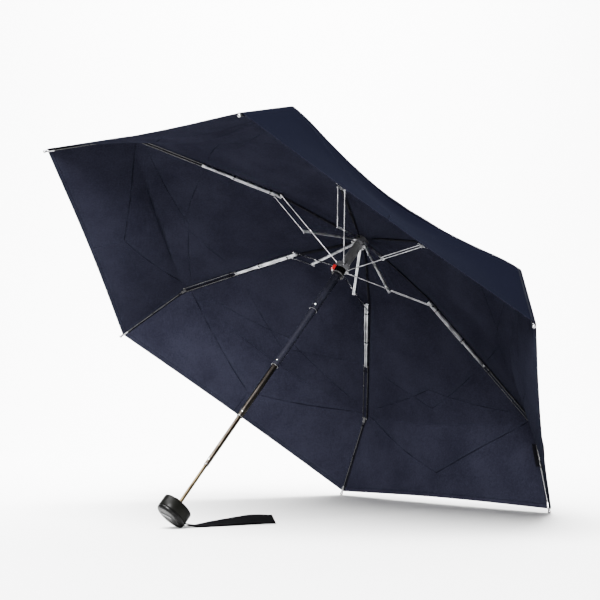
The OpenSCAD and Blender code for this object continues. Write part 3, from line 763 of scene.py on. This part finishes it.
def build_crown():
    """A ruffled rosette of canopy cloth, clamped under the cap, and the cap's small finial."""
    n = 144
    a = np.linspace(0, 2 * math.pi, n, endpoint=False)
    rings = []
    for r, z, wave, fold in ((5.9, 6.42, 0, 0), (9.0, 6.5, 0, 0.02), (12.5, 6.75, 0.12, 0.25),
                             (15.6, 6.7, 0.5, 0.5), (16.2, 6.45, 0.6, 0.55), (15.5, 6.2, 0.5, 0.5),
                             (12.4, 6.35, 0.12, 0.25), (9.0, 6.2, 0, 0.02), (5.9, 6.1, 0, 0)):
        rings.append(np.stack([np.cos(a) * (r + wave * np.sin(24 * a)),
                               np.sin(a) * (r + wave * np.sin(24 * a)),
                               z + fold * np.sin(24 * a + 0.8)], -1))
    points, faces = rings_mesh(rings, close=True)
    spare = np.full(len(points), 0.05)
    attributes = {key: spare for key in ATTRIBUTES}
    attributes["along"], attributes["across"] = points[:, 0] * MM, points[:, 1] * MM
    # The rosette takes the outer face's colour, painted darker as shade.
    attributes["outer"] = np.ones(len(points))
    add("crown_rosette", [(points, [f[::-1] for f in faces])], CLOTH, "frame", 70,
        attributes)
    add("crown_finial", [turned_solid([(5.2, 9.6), (5.2, 10.6), (4.9, 11.2), (4.4, 11.5),
                                       (3.6, 11.7), (3.3, 12.4), (2.9, 13.4), (2.2, 14.1),
                                       (1.2, 14.5), (0.4, 14.6)])],
        BRIGHT, "frame")


def wrap(k, pivot, toward, ahead, half_y, half_up, turns=4):
    """Thread wound round a link and the cloth's seam allowance."""
    loops = []
    for j in range(turns):
        centre = ahead + (j - (turns - 1) / 2) * THREAD_STEP
        ring = []
        for t in np.linspace(0, 2 * math.pi, 28, endpoint=False):
            y = half_y * np.sign(math.cos(t)) * abs(math.cos(t)) ** 0.6
            h = half_up * np.sign(math.sin(t)) * abs(math.sin(t)) ** 0.6
            middle = at_rib(k, pivot, y, centre + 0.15 * math.sin(t + j), toward, h + THREAD_OFF)
            out = at_rib(k, pivot, y * 1.18, centre, toward, h * 1.18 + THREAD_OFF) - middle
            out /= max(np.linalg.norm(out), 1e-6)
            along = at_rib(k, pivot, y, centre + 1, toward, h + THREAD_OFF) - middle
            along /= np.linalg.norm(along)
            ring.append([middle + THREAD_RADIUS * (math.cos(b) * out + math.sin(b) * along)
                         for b in np.linspace(0, 2 * math.pi, 6, endpoint=False)])
        loops.append(rings_mesh(ring, close=True))
    return loops


def build_rib_details():
    for k in range(1, RIBS + 1):
        side = tangent(k)
        add(f"rivets_lever_{k}", [dome(at_rib(k, ELBOW, 5.85), side, 1.45, 0.55),
                                  dome(at_rib(k, ELBOW, -1.85), -side, 1.2, 0.45),
                                  dome(at_rib(k, KNEE, 5.85), side, 1.45, 0.55),
                                  dome(at_rib(k, KNEE, -2.55), -side, 1.3, 0.5)],
            BRIGHT, f"lever_{k}")
        add(f"rivets_link_{k}", [dome(at_rib(k, pivot, s * 3.95), s * side, 1.25, 0.5)
                                 for pivot in (KNEE_2, BEND) for s in (-1, 1)],
            BRIGHT, f"outer_link_{k}")
        for link, body, ties in (
                ("middle", "middle_rib", ((KNEE, KNEE_2, 16, 2.9, 2.2), (KNEE, KNEE_2, 74, 2.9, 2.2))),
                ("outer", "outer_link", ((KNEE_2, BEND, 12, 4.1, 1.2, 3),)),
                ("end", "end_rib", ((BEND, TIP, 12, 1.4, 1.5, 4), (BEND, TIP, 66, 1.3, 1.5, 3)))):
            loops = [loop for tie in ties for loop in wrap(k, *tie)]
            add(f"ties_{link}_{k}", loops, THREAD, f"{body}_{k}", 80)
        start = at_rib(k, BEND, 0, TIP_START, TIP)
        axis = at_rib(k, BEND, 0, TIP_START + 1, TIP) - start
        add(f"tip_{k}", [turned_at(start, axis, TIP_PROFILE, 28)], TIP_STEEL, f"end_rib_{k}")


# ---- handle and strap ----
HANDLE_RX, HANDLE_RY, HANDLE_LOW = 24.0, 17.5, -524.0
PLATE_TURN = -50


def build_handle():
    top = [(-518.6, 0.7), (-518.45, 0.25), (-518.0, 0.0), (-512.0, 0.0), (-504.4, 0.0),
           (-503.2, 0.12),
           (-502.4, 0.5), (-501.9, 1.1), (-501.5, 1.9), (-501.1, 3.1), (-500.6, 4.8), (-499.9, 7.4),
           (-499.2, 9.8), (-498.6, 11.6), (-498.2, 12.6), (-497.9, 13.2), (-497.2, 13.3),
           (-496.9, 13.6)]
    grip = add("handle_grip", [loft(top, HANDLE_RX, HANDLE_RY)], GRIP, "handle",
               45)
    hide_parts("handle_body")
    arc = [(HANDLE_LOW + 4 * (1 - math.sin(t)), 4 * (1 - math.cos(t)))
           for t in np.linspace(math.pi / 2, 0, 14)]
    base = [(HANDLE_LOW + 0.35, 9.5), (HANDLE_LOW + 0.3, 8.3), (HANDLE_LOW, 7.8), *arc,
            (-519.35, 0.0), (-519.1, 0.15), (-519.0, 0.6)]
    foot = add("handle_base", [loft(base, HANDLE_RX, HANDLE_RY)], BLACK, "handle",
               30)
    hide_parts("handle_end_cap")
    core = loft([(-519.2, 1.6), (-518.4, 1.6)], HANDLE_RX, HANDLE_RY)
    add("handle_core", [core], BLACK, "handle")
    turn = math.radians(PLATE_TURN)
    ahead = np.array([math.cos(turn), math.sin(turn), 0])
    side = np.array([-math.sin(turn), math.cos(turn), 0])
    t = np.linspace(0, 2 * math.pi, 64, endpoint=False)
    rings = []
    for z, d in ((0.5, 0.0), (-0.05, 0.0), (-0.3, 0.25), (-0.34, 0.8), (-0.2, 1.1), (-0.18, 2.2)):
        r = 3.0 - d
        rings.append([ahead * (-5 + 5 * np.sign(math.cos(b)) + r * math.cos(b))
                      + side * r * math.sin(b)
                      + np.array([0, 0, HANDLE_LOW + z]) for b in t + 0.01])
    points, faces = rings_mesh(rings)
    plate = add("inlay_plate", [(points, [f[::-1] for f in faces])], INLAY, "handle")
    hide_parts("end_inlay")


# The ribbon's run along the floor in the row frame: x, y, least height, lean from flat in
# degrees, half gap of the loop, and how much of the full width is spread out
STRAP_ROUTE = [
    (-223.5, -2, 4.2, 0, 1.3, 0.45), (-218, -6.8, 4.2, 6, 1.3, 0.45),
    (-212, -11, 3.4, 10, 0.8, 0.5),
    (-204, -15, 2, 15, 0.6, 0.75), (-194, -18.5, 1, 21, 0.6, 0.92), (-182, -22, 1, 28, 0.6, 1),
    (-170, -26, 1, 36, 0.8, 1), (-158, -30, 1, 43, 1.2, 1), (-146, -34, 1, 50, 1.8, 1),
    (-134, -38, 1, 60, 2.6, 1), (-122, -43, 1, 72, 3.4, 1), (-110, -48, 1, 82, 3.8, 1),
    (-103, -51, 1, 86, 3, 1)]
# How far the free end of the loop leans back, and over how much of the route
STRAP_RAKE, RAKE_FROM = 0.5, 0.6
STRAP_WIDTH, STRAP_THICK = 12.6, 0.9


def smooth_rows(table, per):
    """A table of rows, filled in between by a curve through every row."""
    p = np.array(table, float)
    p = np.concatenate([2 * p[:1] - p[1:2], p, 2 * p[-1:] - p[-2:-1]])
    out = []
    for i in range(1, len(p) - 2):
        for t in np.linspace(0, 1, per, endpoint=False):
            out.append(0.5 * (2 * p[i] + (p[i + 1] - p[i - 1]) * t
                              + (2 * p[i - 1] - 5 * p[i] + 4 * p[i + 1] - p[i + 2]) * t * t
                              + (3 * p[i] - p[i - 1] - 3 * p[i + 1] + p[i + 2]) * t ** 3))
    return np.array(out + [p[-2]])


def build_strap():
    route = smooth_rows(STRAP_ROUTE, 7)
    heading = np.gradient(route[:, :2], axis=0)
    heading /= np.linalg.norm(heading, axis=1, keepdims=True)
    n = len(route)
    lean = np.radians(route[:, 3])
    half = route[:, 5] * STRAP_WIDTH / 2
    gap = route[:, 4]
    ahead = np.stack([heading[:, 0], heading[:, 1], np.zeros(n)], -1)
    wide = np.stack([-heading[:, 1] * np.cos(lean), heading[:, 0] * np.cos(lean), np.sin(lean)], -1)
    up = np.cross(ahead, wide)
    rake = STRAP_RAKE * np.clip((np.linspace(0, 1, n) - RAKE_FROM) / (1 - RAKE_FROM), 0, 1)
    wide = wide - ahead * (rake * np.sin(lean))[:, None]
    clear = half * np.sin(lean) + (gap + STRAP_THICK / 2) * np.cos(lean) + 0.15
    high = np.maximum(route[:, 2], clear)
    middle = np.stack([route[:, 0], route[:, 1], high], -1)
    stations = [(middle[i] + up[i] * gap[i], i) for i in range(n)]
    stations += [(middle[-1] + ahead[-1] * gap[-1] * math.sin(t)
                  + up[-1] * gap[-1] * math.cos(t), n - 1)
                 for t in np.linspace(0, math.pi, 12)[1:-1]]
    stations += [(middle[i] - up[i] * gap[i], i) for i in range(n - 1, -1, -1)]
    stations += [(middle[0] - ahead[0] * gap[0] * math.sin(t) - up[0] * gap[0] * math.cos(t), 0)
                 for t in np.linspace(0, math.pi, 8)[1:-1]]
    centres = np.array([s[0] for s in stations])
    runs = np.roll(centres, -1, 0) - np.roll(centres, 1, 0)
    length = np.concatenate([[0], np.cumsum(np.linalg.norm(np.diff(centres, axis=0), axis=1))])
    across_steps = np.linspace(-1, 1, 13)
    points, along, across = [], [], []
    for (centre, i), run, s in zip(stations, runs, length):
        thick = np.cross(wide[i], run)
        thick /= np.linalg.norm(thick)
        crown = 0.5 * STRAP_THICK * (1 - 0.75 * np.abs(across_steps) ** 10)
        wave = 0.10 * np.sin(s / 2.9 + across_steps * 2.0)
        for sign, order in ((1, across_steps), (-1, across_steps[::-1])):
            rise = crown if sign == 1 else crown[::-1]
            bend = wave if sign == 1 else wave[::-1]
            for c, h, w in zip(order, rise, bend):
                points.append(centre + wide[i] * half[i] * c + thick * (sign * h + w))
                along.append(s * MM)
                across.append(c * half[i] * MM)
    rings = np.array(points).reshape(len(stations), -1, 3)
    flat_points, faces = rings_mesh(rings, close=True)
    strap = make("wrist_strap", flat_points * MM, faces, [RIBBON], "handle", True,
                 {"along": along, "across": across})
    sharpen(strap, 60)
    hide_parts("strap")


# ---- tabs of ribbon: the closure tab outside the hem, and a blank tag in a seam ----
# The closure tab's angle round the shaft in degrees, and half its length and width
TAB_TURN, TAB_HALF_LONG, TAB_HALF_WIDE = 300, 14, 8
# The tag's place past the bend, its length and width, and how far it stands off the cloth
TAG_FROM_BEND, TAG_LONG, TAG_WIDE, TAG_GAP = 29.0, 31.2, 12.0, 0.9


def build_tabs():
    low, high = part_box("closure_band")
    centre = (np.array(low) + np.array(high)) / 2
    up = (centre - NOTCH) @ AXES.T / MM
    angle = math.radians(TAB_TURN)
    out = np.array([math.cos(angle), math.sin(angle), 0])
    side = np.array([-math.sin(angle), math.cos(angle), 0])
    slope = math.atan2(93, 78 * math.cos(math.radians(30)))
    down = out * math.cos(slope) - np.array([0, 0, math.sin(slope)])
    normal = np.cross(down, side)
    normal = normal if normal @ (out + np.array([0, 0, 1])) > 0 else -normal
    rings, along, across = [], [], []
    for u in np.linspace(-TAB_HALF_LONG, TAB_HALF_LONG, 29):
        pinch = 1 - 0.06 * (u / TAB_HALF_LONG) ** 2
        ring = []
        for w, h in ([(c, 0.45 * (1 - 0.7 * abs(c) ** 8)) for c in np.linspace(-1, 1, 11)]
                     + [(c, -0.45 * (1 - 0.7 * abs(c) ** 8)) for c in np.linspace(1, -1, 11)]):
            ring.append(up + side * u + down * w * TAB_HALF_WIDE * pinch
                        + normal * (h + 0.12 * math.sin(u / 3)))
            along.append(u * MM)
            across.append(w * TAB_HALF_WIDE * MM)
        rings.append(ring)
    tab = add("closure_tab", [rings_mesh(rings)], TAB, "end_rib_5", 60,
              {"along": along, "across": across})
    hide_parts("closure_band")
    stud = turned_at(up + normal * 0.35 - down * 1.5, normal,
                     [(0, 3.9), (0.5, 3.9), (0.8, 3.6), (1.0, 3.0), (0.95, 2.2), (0.7, 1.7),
                      (0.75, 0.9)], 36)
    press = add("press_stud", [stud], BRIGHT, "end_rib_5")
    for piece in (tab, press):
        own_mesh(piece)
    cloth, start = GORES[RIBS - 1], ROWS[CUT_ROWS[4]] + TAG_FROM_BEND
    rows = slice(*np.searchsorted(ROWS, (start, start + TAG_LONG + ROW_STEP)))
    place, normals = cloth["points"][rows, :3], cloth["normals"][rows, :3]
    half = np.full(place.shape[:2], 0.2)
    points, faces, _ = shell(place - normals * TAG_GAP, normals, half, half)
    along = np.broadcast_to(np.arange(len(place))[:, None] * ROW_STEP, half.shape).reshape(-1) * MM
    across = np.broadcast_to(np.arange(3.0) * TAG_WIDE / 2, half.shape).reshape(-1) * MM
    tag = add("seam_tag", [(points, faces)], TAB, f"end_rib_{RIBS}", 60,
              {"along": np.tile(along, 2), "across": np.tile(across, 2)})
    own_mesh(tag)


# ---- floor, light, camera ----
def build_stage():
    """A pale sweep: level floor that curves up into a wall far behind."""
    ahead = Vector((0.654, 0.756, 0)).normalized()
    side = Vector((0.756, -0.654, 0)).normalized()
    turn_at, turn_r, wall_top = 1.6, 1.6, 5.0
    profile = [(-4.0, 0.0), (turn_at, 0.0)]
    profile += [(turn_at + turn_r * math.sin(a), turn_r * (1 - math.cos(a)))
                for a in np.linspace(0, math.pi / 2, 25)[1:]]
    profile.append((turn_at + turn_r, wall_top))
    points = [ahead * d + side * w + Vector((0, 0, h)) for d, h in profile for w in (-6, 6)]
    faces = [(2 * i, 2 * i + 1, 2 * i + 3, 2 * i + 2) for i in range(len(profile) - 1)]
    mesh = bpy.data.meshes.new("floor")
    mesh.from_pydata([tuple(p) for p in points], [], faces)
    mesh.polygons.foreach_set("use_smooth", [True] * len(faces))
    s = Shader("floor_pale", (0.86, 0.86, 0.86), 0.85)
    s.set("Base Color", s.mix(s.noise(3.0, 3), (0.85, 0.85, 0.85), (0.88, 0.88, 0.88)))
    mesh.materials.append(s.mat)
    floor = bpy.data.objects.new("floor", mesh)
    bpy.context.scene.collection.objects.link(floor)
    floor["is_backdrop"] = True
    return floor


def area_light(name, place, target, size, power):
    """A square white softbox at a place, turned to a target."""
    data = bpy.data.lights.new(name, "AREA")
    data.shape, data.size, data.energy = "SQUARE", size, power
    obj = bpy.data.objects.new(name, data)
    obj.location = place
    obj.rotation_mode = "QUATERNION"
    obj.rotation_quaternion = (Vector(target) - Vector(place)).to_track_quat("-Z", "Y")
    bpy.context.scene.collection.objects.link(obj)
    return obj


def build_lights(floor):
    world = bpy.data.worlds.new("studio")
    bpy.context.scene.world = world
    world.use_nodes = True
    world.node_tree.nodes["Background"].inputs["Color"].default_value = (1, 1, 1, 1)
    world.node_tree.nodes["Background"].inputs["Strength"].default_value = 0.38
    area_light("key_above", (-1.2, -0.3, 2.7), (0.1, 0, 0), 2.0, 740)
    area_light("wall_wash", (0.85, 0.98, 2.3), (2.1, 2.4, 0.5), 2.2, 620)
    front = area_light("key_front", (-2.1, -1.85, 1.55), (0, 0, 0.25), 0.9, 1050)
    # A flag keeps the front light off the floor, so the soft shadow under the hem stays
    flagged = bpy.data.collections.new("flagged")
    flagged.objects.link(floor)
    flagged.collection_objects[0].light_linking.link_state = "EXCLUDE"
    front.light_linking.receiver_collection = flagged


def build_camera():
    data = bpy.data.cameras.new("camera")
    data.lens, data.sensor_width, data.clip_end = 98.42, 36.0, 30.0
    cam = bpy.data.objects.new("camera", data)
    right = Vector((0.75678, -0.65361, -0.00855))
    down = Vector((0.01517, 0.03063, -0.99942))
    forward = Vector((0.65349, 0.75621, 0.0331))
    place = Matrix.Identity(4)
    for i, axis in enumerate((right, -down, -forward)):
        for j in range(3):
            place[j][i] = axis[j]
    place.translation = (-1.55534, -1.79538, 0.23336)
    cam.matrix_world = place
    bpy.context.scene.collection.objects.link(cam)
    bpy.context.scene.camera = cam


build_camera()
dress_cad()
build_canopy()
build_shaft_details()
build_crown()
build_rib_details()
build_handle()
build_strap()
build_tabs()
build_lights(build_stage())
